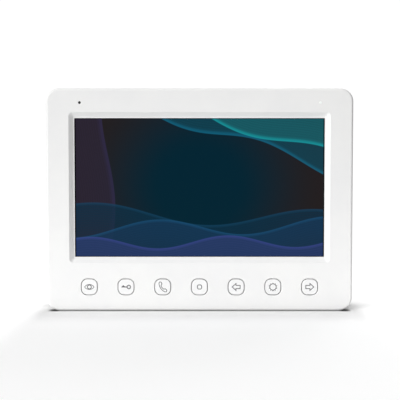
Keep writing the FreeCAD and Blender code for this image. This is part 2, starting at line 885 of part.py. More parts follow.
def speaker_seat(body):
    """The ring rib that locates the loudspeaker, and the slots of its grille."""
    rib = sketch_at(body, "SpeakerRib", "back_inside", "speaker_x", "speaker_z")
    for radius in ("speaker_radius + speaker_rib_gap", "speaker_radius + speaker_rib_gap + speaker_rib_wall"):
        circles(rib, radius, [("0", "0")])
    pad(body, rib, "speaker_rib_height")
    grille = sketch_at(body, "Grille", "back_inside", "speaker_x", "speaker_z")
    for step in range(-3, 4):
        length = f"2 * sqrt(grille_radius * grille_radius - {step * step} * grille_pitch * grille_pitch)"
        rounded(grille, length, "grille_slot", "grille_slot * 0.49", "0", f"{step} * grille_pitch")
    pocket(body, grille, "back_wall")


def wall_bracket():
    """The steel plate that is screwed to the wall, with four hooks bent out of it."""
    body = new_body("wall_bracket")
    plate = rounded(sketch_at(body, "Plate", "0"), "bracket_width", "bracket_height", "bracket_corner")
    rounded(plate, "bracket_window_width", "bracket_window_height", "3", "0", "bracket_window_z")
    circles(plate, "wall_hole_radius", four("wall_hole_spacing / 2", "wall_hole_spacing / 2"))
    pad(body, plate, "bracket_sheet")
    blanks = sketch_at(body, "HookBlanks", "bracket_sheet")
    for x in ("hook_x", "-hook_x"):
        for z in ("hook_upper_z", "hook_lower_z"):
            rounded(blanks, "slot_width", "hook_lip + 1.4", "0.5", x, f"{z} + (hook_lip + 1.4) / 2")
    pocket(body, blanks, "bracket_sheet")
    sides = sketch_on(body, "HookSides", "YZ_Plane", ("0", "0", "hook_x"))
    for z in ("hook_upper_z", "hook_lower_z"):
        outline(
            sides,
            [
                ("-bracket_sheet * 0.5", f"{z} - bracket_sheet"),
                ("-lip_front", f"{z} - bracket_sheet"),
                ("-lip_front", f"{z} + hook_lip"),
                ("-lip_back", f"{z} + hook_lip"),
                ("-lip_back", z),
                ("-bracket_sheet * 0.5", z),
            ],
        )
    hooks = body.newObject("PartDesign::Pad", "Hooks")
    hooks.Profile = sides
    hooks.SideType = "Symmetric"
    bind(hooks, "Length", "hook_width")
    doc.recompute()
    mirror = body.newObject("PartDesign::Mirrored", "OtherHooks")
    mirror.Originals = [hooks]
    mirror.MirrorPlane = (origin_plane(body, "YZ_Plane"), [""])
    body.Tip = mirror
    doc.recompute()
    return node(body)


# ---- display module ------------------------------------------------------------------------------------


def display_module():
    """Everything in the display's tray, from its gasket back to its steel tray."""
    gasket = [f"polariser_{side} + 0.4" for side in ("width", "height")]
    sheet_piece(
        "display_gasket",
        "polariser_width + 2 * gasket_band",
        "polariser_height + 2 * gasket_band",
        "0.5",
        "module_front",
        "gasket_thickness",
        "picture_z",
        (*gasket, "0.5", "picture_z"),
    )
    steel_frame()
    mould_frame()
    sheet_piece("display_tray", "mould_width", "mould_height", "0.5", "module_back", "tray_sheet", "module_z")
    stack = ("stack_width", "stack_height", "0.3")
    sheet_piece("reflector_sheet", *stack, "tray_top", "film_thickness", "module_z")
    light_guide()
    films = []
    for i in range(2):
        film = new_body(f"film_{i + 1}")
        sketch = sketch_at(film, "Outline", f"film_level + {i} * film_thickness", "0", "module_z")
        pad(film, rounded(sketch, *stack), "film_thickness")
        films.append(film)
    group("diffuser_films", films)
    front = ("polariser_width", "polariser_height", "0.3")
    sheet_piece("rear_polariser", *front, "rear_polariser_level", "polariser_thickness", "picture_z")
    sheet_piece("tft_glass", *stack, "tft_level", "glass_thickness", "module_z")
    sheet_piece(
        "colour_filter_glass",
        "stack_width",
        "stack_height - glass_ledge",
        "0.3",
        "filter_level",
        "glass_thickness",
        "module_z + glass_ledge / 2",
    )
    sheet_piece("front_polariser", *front, "polariser_level", "polariser_thickness", "picture_z")


def steel_frame():
    """The pressed steel frame round the module: a rim in front of the glass and a thin wall on each side."""
    body = new_body("display_steel_frame")
    outside = rounded(
        sketch_at(body, "Outline", "module_back", "0", "module_z"), "module_width", "module_height", "0.8"
    )
    pad(body, outside, "module_depth")
    inside = sketch_at(body, "Inside", "module_front - steel_sheet", "0", "module_z")
    rounded(inside, "module_width - 2 * steel_sheet", "module_height - 2 * steel_sheet", "0.5")
    pocket(body, inside, "module_depth - steel_sheet")
    window = sketch_at(body, "Window", "module_front", "0", "picture_z")
    rounded(window, "polariser_width + 0.4", "polariser_height + 0.4", "0.5")
    pocket(body, window, "steel_sheet")
    flex_gate(body, "module_z - module_height / 2 - 1")
    return node(body)


def mould_frame():
    """The white plastic ring that carries the glass, the films and the light guide."""
    body = new_body("display_mould_frame")
    ring = sketch_at(body, "Ring", "tray_top", "0", "module_z")
    rounded(ring, "mould_width", "mould_height", "0.4")
    rounded(ring, "stack_width + 2 * stack_gap", "stack_height + 2 * stack_gap", "0.4")
    pad(body, ring, "module_front - steel_sheet - tray_top")
    flex_gate(body, "module_z - module_height / 2 - 1")
    return node(body)


def flex_gate(body, bottom):
    """A notch in a frame's lower wall that lets the display's flexible circuit out."""
    gate = sketch_at(body, "FlexGate", "filter_level + flex_thickness + 0.3")
    half = "(flex_width / 2 + 0.5)"
    rectangle(gate, f"flex_x - {half}", bottom, f"flex_x + {half}", f"{bottom} + 3.4")
    pocket(body, gate, "flex_thickness + 0.5")


def light_guide():
    """The acrylic plate that spreads the backlight, and the row of lamps along its left edge."""
    body = new_body("light_guide")
    sketch = sketch_at(body, "Outline", "guide_level", "lamp_space / 2", "module_z")
    rounded(sketch, "stack_width - lamp_space", "stack_height", "0.3")
    pad(body, sketch, "guide_thickness")
    node(body)
    left = "-stack_width / 2 + {}"
    strip = block(
        "lamp_strip",
        left.format("0.15"),
        "module_z",
        "guide_level + 0.1",
        "0.3",
        "stack_height - 2",
        "guide_thickness - 0.2",
    )
    lamps = [
        block(
            f"lamp_{i}",
            left.format("0.95"),
            f"module_z + {i - 5.5} * lamp_pitch",
            "guide_level + 0.4",
            "1.2",
            "lamp_length",
            "2",
        )
        for i in range(12)
    ]
    group("backlight_lamps", [fuse([strip, *lamps])])


def display_flex():
    """The flexible circuit from the glass ledge, round the module's lower edge, up to the main board."""
    x = value("flex_x")
    front = value("filter_level + flex_thickness / 2 + 0.02")
    below = value("module_z - module_height / 2 - flex_slack")
    behind = value("module_back - 0.35")
    mouth = value("board_front + connector_height / 2")
    points = [
        (x, value("module_z - stack_height / 2 + 2"), front),
        (x, below, front),
        (x, below, behind),
        (x, -8.0, behind),
        (x, -4.0, mouth),
        (x, value("board_bottom_z + 1"), mouth),
    ]
    section = flat_strip(points[0], value("flex_width"), value("flex_thickness"))
    return node(swept("display_flex", points, section, value("flex_bend")))


def display_clamps():
    """Four steel straps that press the module's back edges forwards, and their screws."""
    straps = []
    for i, (side, z) in enumerate(
        [(1, "clamp_upper_z"), (-1, "clamp_upper_z"), (1, "clamp_lower_z"), (-1, "clamp_lower_z")], 1
    ):
        strap = new_body(f"clamp_{i}")
        sketch = sketch_at(strap, "Strap", "module_back - clamp_sheet")
        inner = f"{side} * (module_width / 2 - clamp_reach)"
        middle = f"{inner} + {side} * clamp_length / 2"
        rounded(sketch, "clamp_length", "clamp_width", "1.5", middle, z)
        circles(sketch, "1.3", [(f"{side} * clamp_x", z)])
        pad(strap, sketch, "clamp_sheet")
        straps.append(strap)
    group("display_clamps", straps)
    places = pair("clamp_x", "clamp_upper_z") + pair("clamp_x", "clamp_lower_z")
    screws("clamp_screws", places, "module_back - clamp_sheet", "-", "2.2", "0.95", "5")


# ---- keys ----------------------------------------------------------------------------------------------


def key(label, x):
    """One key: a square cap with round corners, a flange that keeps it in, and a stem down to its switch."""
    body = new_body(label)
    cap = rounded(sketch_at(body, "Cap", "flange_front"), "key_size", "key_size", "key_corner", x, "key_z")
    pad(body, cap, "body_depth + key_proud - flange_front")
    ease(body, "Fillet", edges_on(body, "body_depth + key_proud"), "key_round")
    flange = sketch_at(body, "Flange", "flange_back")
    pad(body, rounded(flange, "flange_size", "flange_size", "flange_corner", x, "key_z"), "flange_thickness")
    stem = circles(sketch_at(body, "Stem", "plunger_top"), "stem_radius", [(x, "key_z")])
    pad(body, stem, "flange_back - plunger_top")
    return node(body)


def plunger(label, x):
    """The plunger of one tactile switch, which its key's stem rests on."""
    foot = "switch_top - plunger_sunk"
    return node(
        turned(
            label,
            x,
            "key_z",
            [
                ("0", foot),
                ("plunger_radius", foot),
                ("plunger_radius", "plunger_top - 0.25"),
                ("plunger_radius - 0.25", "plunger_top"),
                ("0", "plunger_top"),
            ],
        )
    )


def switches():
    """The seven switch bodies, each with its well for the plunger and its four soldered leads."""
    body = new_body("tactile_switches")
    first = "-3 * key_pitch"
    sides = [f"{first} - lead_span / 2", f"{first} + lead_span / 2"]
    square = ("switch_size", "switch_size", "0.4", first, "key_z")
    base = rounded(sketch_at(body, "Base", "key_board_level"), *square)
    features = [pad(body, base, "switch_height - switch_well")]
    wall = rounded(sketch_at(body, "Wall", "switch_top - switch_well"), *square)
    circles(wall, "plunger_radius + 0.25", [(first, "key_z")])
    features.append(pad(body, wall, "switch_well"))
    leads = sketch_at(body, "Leads", "key_board_level")
    for z in ("key_z + lead_z", "key_z - lead_z"):
        rectangle(leads, sides[0], f"{z} - lead_width / 2", sides[1], f"{z} + lead_width / 2")
    features.append(pad(body, leads, "lead_sheet"))
    in_a_row(body, features, base, "key_pitch", len(KEYS))
    return node(body)


def key_board():
    """The narrow circuit board that carries the switches, and its screws."""
    body = new_body("key_board")
    sketch = sketch_at(body, "Outline", "key_board_back")
    rounded(sketch, "key_board_width", "key_board_height", "1.5", "0", "key_z")
    circles(sketch, "1.2", key_board_places())
    pad(body, sketch, "key_board_thickness")
    node(body)
    screws("key_board_screws", key_board_places(), "key_board_back", "-", "2.1", "0.85", "4.6")


def key_ribbon():
    """The flat cable from the key board up to the main board."""
    x = value("ribbon_x")
    low_level = value("key_board_back - connector_height / 2")
    middle_level = value("ribbon_level")
    high_level = value("board_front + connector_height / 2")
    start_z = value("key_z + connector_depth")
    end_z = value("board_bottom_z + 1")
    points = [
        (x, start_z, low_level),
        (x, start_z + 6.3, low_level),
        (x, start_z + 12.3, middle_level),
        (x, end_z - 12, middle_level),
        (x, end_z - 6.5, high_level),
        (x, end_z, high_level),
    ]
    section = flat_strip(points[0], value("ribbon_width"), value("ribbon_thickness"))
    return node(swept("key_ribbon", points, section))


# ---- main board ----------------------------------------------------------------------------------------


def main_board():
    """The main circuit board and its screws."""
    body = new_body("main_board")
    sketch = sketch_at(body, "Outline", "board_level")
    rounded(sketch, "board_width", "board_top_z - board_bottom_z", "board_corner", "0", "board_z")
    circles(sketch, "board_hole_radius", board_places())
    pad(body, sketch, "board_thickness")
    node(body)
    screws("main_board_screws", board_places(), "board_front", "+", "2.5", "0.95", "6")


def chip(label, x, z, width, height, depth):
    """A flat chip on the front of the main board."""
    return block(label, x, z, "board_front", width, height, depth)


def board_parts():
    """Chips, coils, capacitors, connectors and the clock's cell."""
    node(chip("processor_chip", "-8", "28", "17", "17", "1.4"))
    group(
        "memory_chips",
        [
            chip("memory_chip_1", "16", "34", "12", "8", "1.1"),
            chip("memory_chip_2", "16", "22", "12", "8", "1.1"),
            chip("storage_chip", "-34", "40", "8", "6", "1.5"),
            chip("audio_chip", "52", "30", "7", "7", "0.9"),
            chip("video_decoder_chip", "-36", "18", "10", "10", "1.2"),
        ],
    )
    coil_level = "board_level - inductor_height"
    coils = []
    for i, (x, z) in enumerate([("58", "44"), ("68", "44"), ("58", "32")], 1):
        size = ("inductor_size", "inductor_size", "inductor_height - 0.8")
        base = block(f"coil_base_{i}", x, z, f"{coil_level} + 0.8", *size)
        cap = drum(f"coil_cap_{i}", x, z, coil_level, "inductor_size * 0.46", "1")
        coils.append(fuse([base, cap]))
    group("power_coils", coils)
    capacitors = []
    for i, z in enumerate(("24", "34", "44"), 1):
        size = ("capacitor_radius", "capacitor_height - 0.8")
        can = drum(f"capacitor_can_{i}", "capacitor_x", z, "board_level - capacitor_height", *size)
        base = block(f"capacitor_base_{i}", "capacitor_x", z, "board_level - 0.9", "6.6", "6.6", "0.9")
        capacitors.append(fuse([can, base]))
    group("capacitors", capacitors)
    board_z = "board_bottom_z + 1 + connector_depth / 2"
    key_side = block(
        "ribbon_connector_lower",
        "ribbon_x",
        "key_z + connector_depth / 2",
        "key_board_back - connector_height",
        "ribbon_connector_width",
        "connector_depth",
        "connector_height",
    )
    group(
        "flat_cable_connectors",
        [
            chip(
                "display_connector",
                "flex_x",
                board_z,
                "lcd_connector_width",
                "connector_depth",
                "connector_height",
            ),
            chip(
                "ribbon_connector_upper",
                "ribbon_x",
                board_z,
                "ribbon_connector_width",
                "connector_depth",
                "connector_height",
            ),
            key_side,
        ],
    )
    clock_cell()
    node(block("status_led", "lamp_x", "small_hole_z", "board_front", "3.2", "1.6", "led_height"))


def clock_cell():
    """The coin cell that keeps the clock going, lying on the back of the main board under a sprung clip."""
    cell_back = "board_level - cell_thickness"
    node(drum("clock_cell", "cell_x", "cell_z", cell_back, "cell_radius", "cell_thickness"))
    arm = "cell_radius + clip_gap"
    strap = block(
        "clip_strap",
        "cell_x",
        "cell_z",
        f"{cell_back} - clip_sheet",
        f"2 * ({arm}) + 2 * clip_sheet",
        "clip_width",
        "clip_sheet",
    )
    legs = [
        block(
            f"clip_leg_{side}",
            f"cell_x {side} ({arm} + clip_sheet / 2)",
            "cell_z",
            f"{cell_back} - clip_sheet / 2",
            "clip_sheet",
            "clip_width",
            "cell_thickness + clip_sheet / 2",
        )
        for side in "+-"
    ]
    node(fuse([strap, *legs]), "cell_clip")


SOCKETS = [(-28.8, 4), (-12.9, 4), (3, 4), (18.9, 4), (32, 2)]  # each socket's x and its number of pins


def cable_sockets():
    """Five shrouded sockets along the board's lower edge, mouths down into the cable bay, and their pins."""
    shells, pins = [], []
    bottom = "board_level - socket_height"
    for number, (x, count) in enumerate(SOCKETS, 1):
        width = f"{count - 1} * socket_pitch + socket_ends"
        shell = block(
            f"socket_block_{number}",
            str(x),
            "socket_mouth_z + socket_length / 2",
            bottom,
            width,
            "socket_length",
            "socket_height",
        )
        hollow = block(
            f"socket_hollow_{number}",
            str(x),
            "socket_mouth_z + socket_pocket / 2",
            f"{bottom} + socket_wall",
            f"{width} - 2 * socket_wall",
            "socket_pocket",
            "socket_height - 2 * socket_wall",
        )
        keyway = block(
            f"socket_keyway_{number}",
            str(x),
            "socket_mouth_z + socket_pocket / 2",
            bottom,
            "socket_key",
            "socket_pocket",
            "socket_wall",
        )
        shells.append(cut(cut(shell, hollow), keyway))
        for pin in range(count):
            place = f"{x} + {pin - (count - 1) / 2} * socket_pitch"
            pins.append(socket_pin(f"pin_{number}_{pin + 1}", place, f"{bottom} + socket_height / 2"))
    pin_group = group("socket_pins", pins)
    shell_group = doc.addObject("Part::Compound", "Shells")
    shell_group.Links = shells
    return node(cut(shell_group, pin_group), "cable_sockets")


def socket_pin(label, x, level):
    """An L-shaped pin: one leg points out of the socket's mouth, the other is soldered to the board."""
    front_leg = "socket_length + pin_tail - pin_inset"
    leg = block(
        label + "_leg",
        x,
        f"socket_mouth_z + pin_inset + ({front_leg}) / 2",
        f"{level} - pin_size / 2",
        "pin_size",
        front_leg,
        "pin_size",
    )
    tail = block(
        label + "_tail",
        x,
        "socket_mouth_z + socket_length + pin_tail - pin_size / 2",
        f"{level} - pin_size / 2",
        "pin_size",
        "pin_size",
        f"board_level - ({level}) + pin_size / 2",
    )
    return fuse([leg, tail])


# ---- sound and light -----------------------------------------------------------------------------------


def loudspeaker():
    """The loudspeaker in the rear shell, facing the wall through its grille."""
    centre = ("speaker_x", "speaker_z")
    node(
        turned(
            "speaker_basket",
            *centre,
            [
                ("cone_radius + 0.1", "rim_level"),
                ("speaker_radius", "rim_level"),
                ("speaker_radius", "rim_back"),
                ("speaker_radius - 2.6", "rim_back"),
                ("magnet_radius + 2.3", "basket_back"),
                ("coil_radius + 1.4", "basket_back"),
                ("coil_radius + 1.4", "basket_back - 0.8"),
                ("magnet_radius + 1.9", "basket_back - 0.8"),
                ("cone_radius + 0.1", "rim_level + 0.6"),
            ],
        )
    )
    node(
        turned(
            "speaker_cone",
            *centre,
            [
                ("0", "rim_level + 0.9"),
                ("coil_radius", "rim_level + 1.9"),
                ("cone_radius - 2", "rim_level + 0.5"),
                ("cone_radius", "rim_level + 0.1"),
                ("cone_radius", "rim_level + 0.4"),
                ("cone_radius - 1.9", "rim_level + 0.9"),
                ("coil_radius + 0.1", "rim_level + 2.3"),
                ("0", "rim_level + 1.3"),
            ],
        )
    )
    node(
        turned(
            "voice_coil",
            *centre,
            [
                ("coil_radius - coil_wall", "rim_level + 2.28"),
                ("coil_radius", "rim_level + 2.28"),
                ("coil_radius", "basket_back + 1.5"),
                ("coil_radius - coil_wall", "basket_back + 1.5"),
            ],
        )
    )
    node(
        turned(
            "speaker_magnet",
            *centre,
            [
                ("0", "basket_back"),
                ("coil_radius - coil_wall - 0.3", "basket_back"),
                ("coil_radius - coil_wall - 0.3", "basket_back + 1.9"),
                ("coil_radius + 0.3", "basket_back + 1.9"),
                ("coil_radius + 0.3", "basket_back"),
                ("magnet_radius", "basket_back"),
                ("magnet_radius", "basket_back + magnet_height"),
                ("0", "basket_back + magnet_height"),
            ],
        )
    )
    node(
        turned(
            "speaker_seal",
            *centre,
            [
                ("cone_radius + 0.3", "back_inside"),
                ("speaker_radius", "back_inside"),
                ("speaker_radius", "rim_level"),
                ("cone_radius + 0.3", "rim_level"),
            ],
        )
    )
    speaker_leads()


def speaker_leads():
    """Two wires from the loudspeaker's rim to the back of the main board."""
    rim_z = value("speaker_z + speaker_radius - 1.9")
    board_z, wires = 6.0, []
    bends = [(rim_z, 6.4), (-7.5, 7.3), (0.5, 6.9), (board_z, 6.3)]  # z and level
    run = [(rim_z, value("rim_back"))] + bends + [(board_z, value("board_level"))]
    for i, x in enumerate(("speaker_wire_x", "speaker_wire_x + wire_pitch"), 1):
        points = [(value(x), z, level) for z, level in run]
        section = round_wire(points[0], value("speaker_wire_radius"))
        wires.append(swept(f"speaker_wire_{i}", points, section))
    return group("speaker_leads", wires)


def microphone():
    """The microphone capsule in its rubber boot, whose nose fills the sound hole, and its two wires."""
    centre = ("sound_x", "small_hole_z")
    nose = "sound_hole_radius - pipe_gap"
    inner = "capsule_radius + capsule_gap"
    lip_back = "face_back - boot_lip"
    end = "face_back - boot_length"
    node(
        turned(
            "microphone_boot",
            *centre,
            [
                ("sound_bore_radius", "body_depth - nose_sunk"),
                (nose, "body_depth - nose_sunk"),
                (nose, "face_back"),
                ("boot_radius", "face_back"),
                ("boot_radius", end),
                (inner, end),
                (inner, lip_back),
                ("sound_bore_radius", lip_back),
            ],
        )
    )
    back = f"{lip_back} - capsule_gap - capsule_length"
    node(drum("microphone_capsule", *centre, back, "capsule_radius", "capsule_length"))
    wires = []
    aside, up = 1.5, 0.8  # how far the board's pads lie from the capsule's
    bend_levels = (14.8, 12.6)
    for i, side in enumerate(("-", "+"), 1):
        x, z = value(f"sound_x {side} microphone_lead_pitch / 2"), value("small_hole_z")
        points = [
            (x, z, value(back)),
            (x, z, bend_levels[0]),
            (x + aside, z + up, bend_levels[1]),
            (x + aside, z + up, value("board_front")),
        ]
        section = round_wire(points[0], value("microphone_wire_radius"))
        wires.append(swept(f"microphone_wire_{i}", points, section))
    return group("microphone_leads", wires)


def light_pipe():
    """The clear rod that carries the status lamp's light from the main board to the face."""
    return node(
        turned(
            "status_light_pipe",
            "lamp_x",
            "small_hole_z",
            [
                ("0", "body_depth + pipe_proud"),
                ("pipe_tip_radius - pipe_proud", "body_depth + pipe_proud"),
                ("pipe_tip_radius", "body_depth"),
                ("pipe_tip_radius", "face_back"),
                ("pipe_radius", "face_back"),
                ("pipe_radius", "pipe_end_level"),
                ("0", "pipe_end_level"),
            ],
        )
    )


# ---- the assembly --------------------------------------------------------------------------------------


def build():
    front_housing()
    rear_housing()
    wall_bracket()
    screws("housing_screws", four("screw_x", "screw_z"), "well_seat_level", "-", "2.8", "1.25", "11")
    display_module()
    display_flex()
    display_clamps()
    for i, label in enumerate(KEYS):
        x = f"{i - 3} * key_pitch" if i != 3 else "0"
        key(label, x)
        plunger(label.replace("key", "plunger"), x)
    switches()
    key_board()
    key_ribbon()
    main_board()
    board_parts()
    cable_sockets()
    loudspeaker()
    microphone()
    light_pipe()


def check():
    """Stops the run if any object failed, or if a piece's shape is empty or broken."""
    doc.recompute()
    failed = [o.Label for o in doc.Objects if {"Invalid", "Error"} & set(o.State)]
    if failed:
        raise RuntimeError(f"failed: {failed}")
    for piece in nodes:
        if piece.Shape.isNull() or not piece.Shape.isValid() or not piece.Shape.Solids:
            raise RuntimeError(f"{piece.Label} has no sound shape")
    labels = [piece.Label for piece in nodes]
    if len(labels) != len(set(labels)):
        raise RuntimeError("two pieces share a label")


def write():
    os.makedirs("parts", exist_ok=True)
    for piece in nodes:
        piece.Shape.exportStep(f"parts/{piece.Label}.step")
    print(len(nodes), "pieces written")


build()
check()
write()
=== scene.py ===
"""The looks of the video intercom monitor: materials, the display's picture, printed icons and studio.

Sizes are in metres unless a name says mm. Places come from the frame's own boxes. Colours are written
as on a screen, from 0 to 255.
"""
import json
import math

import bmesh
import bpy
from mathutils import Matrix, Vector


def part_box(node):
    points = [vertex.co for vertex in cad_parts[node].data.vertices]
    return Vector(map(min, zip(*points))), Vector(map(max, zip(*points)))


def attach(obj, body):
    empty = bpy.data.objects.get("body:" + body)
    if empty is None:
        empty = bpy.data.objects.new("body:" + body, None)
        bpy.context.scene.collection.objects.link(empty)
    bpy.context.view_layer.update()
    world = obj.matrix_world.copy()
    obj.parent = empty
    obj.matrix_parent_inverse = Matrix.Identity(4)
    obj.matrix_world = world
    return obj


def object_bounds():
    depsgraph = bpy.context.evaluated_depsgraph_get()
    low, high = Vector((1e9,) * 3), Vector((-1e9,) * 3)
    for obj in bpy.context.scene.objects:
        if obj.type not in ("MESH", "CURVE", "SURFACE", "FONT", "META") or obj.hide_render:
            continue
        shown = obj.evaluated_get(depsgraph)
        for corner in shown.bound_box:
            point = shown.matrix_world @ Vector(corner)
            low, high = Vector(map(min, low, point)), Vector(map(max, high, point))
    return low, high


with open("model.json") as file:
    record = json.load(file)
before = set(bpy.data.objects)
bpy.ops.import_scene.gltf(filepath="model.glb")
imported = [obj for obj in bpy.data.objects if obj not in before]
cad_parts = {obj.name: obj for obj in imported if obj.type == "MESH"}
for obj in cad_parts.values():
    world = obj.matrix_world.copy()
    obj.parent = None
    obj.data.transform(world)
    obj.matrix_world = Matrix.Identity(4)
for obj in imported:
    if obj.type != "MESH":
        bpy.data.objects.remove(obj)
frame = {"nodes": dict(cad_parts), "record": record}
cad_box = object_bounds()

MM = 0.001
nodes = frame["nodes"]


# ---- node formulas -------------------------------------------------------------------------------


def srgb(red, green, blue):
    """A screen colour from 0 to 255 as a linear colour."""
    channels = [c / 255 for c in (red, green, blue)]
    return tuple(c / 12.92 if c <= 0.04045 else ((c + 0.055) / 1.055) ** 2.4 for c in channels) + (1.0,)


class Wire:
    """One output in a node tree. Arithmetic on wires adds Math nodes, so a pattern reads as a formula."""

    def __init__(self, tree, socket):
        self.tree = tree
        self.socket = socket

    def math(self, operation, *others):
        node = self.tree.nodes.new("ShaderNodeMath")
        node.operation = operation
        for slot, value in zip(node.inputs, (self, *others)):
            plug(self.tree, slot, value)
        return Wire(self.tree, node.outputs[0])

    def __add__(self, other):
        return self.math("ADD", other)

    def __sub__(self, other):
        return self.math("SUBTRACT", other)

    def __mul__(self, other):
        return self.math("MULTIPLY", other)

    def __truediv__(self, other):
        return self.math("DIVIDE", other)

    def __pow__(self, other):
        return self.math("POWER", other)

    def sin(self):
        return self.math("SINE")

    def cos(self):
        return self.math("COSINE")

    def abs(self):
        return self.math("ABSOLUTE")

    def above(self, level):
        return self.math("GREATER_THAN", level)

    def highest(self, other):
        return self.math("MAXIMUM", other)

    def between(self, low, high):
        """A value that runs from 0 to 1, stretched to run from low to high."""
        return self * (high - low) + low

    def wrapped(self, period):
        """The value's place in a repeating period, from 0 to the period."""
        return self.math("FLOORED_MODULO", period)

    def smooth(self, low, high):
        """0 below low, 1 above high, and a smooth step between them. It falls where low is above high."""
        node = self.tree.nodes.new("ShaderNodeMapRange")
        node.interpolation_type = "SMOOTHSTEP"
        for name, value in (("Value", self), ("From Min", low), ("From Max", high)):
            plug(self.tree, node.inputs[name], value)
        return Wire(self.tree, node.outputs["Result"])


def plug(tree, slot, value):
    """Links a wire to a socket, or sets the socket to a plain value."""
    if isinstance(value, Wire):
        tree.links.new(value.socket, slot)
    else:
        slot.default_value = value


class Material:
    """A material being made: its tree, its shader, and the patterns that feed them."""

    def __init__(self, name, **sockets):
        self.made = bpy.data.materials.new(name)
        self.made.use_nodes = True
        self.tree = self.made.node_tree
        self.shader = self.tree.nodes["Principled BSDF"]
        self.place = Wire(self.tree, self.tree.nodes.new("ShaderNodeTexCoord").outputs["Object"])
        self.set(**sockets)

    def set(self, **sockets):
        """Sets the shader's sockets: base_color is its Base Color."""
        for name, value in sockets.items():
            slot = next(s for s in self.shader.inputs if s.name.lower().replace(" ", "_") == name)
            plug(self.tree, slot, value)

    def add(self, kind, output, **inputs):
        node = self.tree.nodes.new(kind)
        for name, value in inputs.items():
            plug(self.tree, node.inputs[name.replace("_", " ")], value)
        return Wire(self.tree, node.outputs[output])

    def axes(self):
        """The place's x, y and z in metres."""
        split = self.tree.nodes.new("ShaderNodeSeparateXYZ")
        plug(self.tree, split.inputs[0], self.place)
        return [Wire(self.tree, out) for out in split.outputs]

    def stretched(self, x, y, z):
        """The place, scaled on each axis."""
        return self.add("ShaderNodeMapping", "Vector", Vector=self.place, Scale=(x, y, z))

    def noise(self, grain_mm, detail=3.0, place=None):
        """Soft noise from 0 to 1 whose grain is about so many millimetres."""
        sockets = dict(Vector=place or self.place, Scale=1 / (grain_mm * MM), Detail=detail, Roughness=0.6)
        return self.add("ShaderNodeTexNoise", "Fac", **sockets)

    def cells(self, size_mm, output="Distance"):
        """Distance from the nearest of many scattered points, or each point's cell in a colour of its own."""
        return self.add("ShaderNodeTexVoronoi", output, Vector=self.place, Scale=1 / (size_mm * MM))

    def mix(self, factor, first, second, blend="MIX"):
        """A colour between two colours, or with another blend, the second laid over the first."""
        node = self.tree.nodes.new("ShaderNodeMix")
        node.data_type = "RGBA"
        node.blend_type = blend
        sockets = {0: factor, 6: first, 7: second}  # 6 and 7 are the node's two colours
        for index, value in sockets.items():
            plug(self.tree, node.inputs[index], value)
        return Wire(self.tree, node.outputs[2])

    def glow(self, colour, light, strength):
        """A colour with light of another colour added to it, at a strength."""
        return self.mix(strength, colour, light, blend="ADD")

    def bump(self, height, depth_mm):
        """Fine relief of a depth in millimetres."""
        self.set(normal=self.add("ShaderNodeBump", "Normal", Height=height, Distance=depth_mm * MM))
        return self


# ---- materials -----------------------------------------------------------------------------------


def grained(name, light, dark, patch_mm, rough, relief_mm=0.01, relief_grain_mm=0.3, **sockets):
    """A surface whose colour and gloss vary in soft patches, with a fine moulded or cast grain."""
    material = Material(name, **sockets)
    patches = material.noise(patch_mm)
    grain = material.noise(relief_grain_mm, detail=2.0)
    material.set(
        base_color=material.mix(patches.smooth(0.3, 0.7), srgb(*light), srgb(*dark)),
        roughness=patches.between(*rough),
    )
    return material.bump(grain, relief_mm)


def brushed(name, light, dark, rough):
    """Sheet metal with fine lines drawn up it and faint stains."""
    material = Material(name, metallic=1.0)
    lines = material.noise(0.5, detail=4.0, place=material.stretched(1.0, 1.0, 0.04))
    stains = material.noise(18.0)
    material.set(
        base_color=material.mix(stains * 0.5 + lines * 0.5, srgb(*light), srgb(*dark)),
        roughness=lines.between(*rough),
    )
    return material.bump(lines, depth_mm=0.008)


def film(name, light, dark, rough, **sockets):
    """A plastic film with faint streaks from its rollers."""
    material = Material(name, **sockets)
    streaks = material.noise(2.0, place=material.stretched(1.0, 1.0, 0.03))
    material.set(
        base_color=material.mix(streaks, srgb(*light), srgb(*dark)), roughness=streaks.between(*rough)
    )
    return material


def tracked(name, sheet, track, pitch_mm, width_mm, rough):
    """A flexible sheet with parallel copper tracks that run up it."""
    material = Material(name)
    x, _, _ = material.axes()
    pitch, width = pitch_mm * MM, width_mm * MM
    from_track = (x.wrapped(pitch) - pitch / 2).abs()
    line = from_track.smooth(width * 0.55, width * 0.45)
    material.set(
        base_color=material.mix(line, srgb(*sheet), srgb(*track)),
        roughness=material.noise(1.5).between(*rough),
    )
    return material.bump(line, depth_mm=0.03)


def zinc_steel(name):
    """Zinc-plated sheet: spangle of small crystals over faint rolling lines."""
    material = Material(name, metallic=1.0)
    spangle = material.cells(3.2, output="Color")
    lines = material.noise(0.6, detail=4.0, place=material.stretched(0.05, 1.0, 1.0))
    crystal = material.add("ShaderNodeSeparateColor", "Red", Color=spangle)
    material.set(
        base_color=material.mix(crystal * 0.6 + lines * 0.4, srgb(196, 199, 202), srgb(158, 162, 167)),
        roughness=crystal * 0.14 + lines * 0.1 + 0.26,
    )
    return material.bump(lines * 0.6 + crystal * 0.4, depth_mm=0.01)


def foam(name):
    """Closed-cell foam: small bubbles that the cutting knife has opened."""
    material = Material(name, roughness=0.95, specular_ior_level=0.2)
    bubbles = material.cells(0.5)
    material.set(base_color=material.mix(bubbles.smooth(0.1, 0.6), srgb(38, 38, 40), srgb(16, 16, 17)))
    return material.bump(bubbles, depth_mm=0.15)


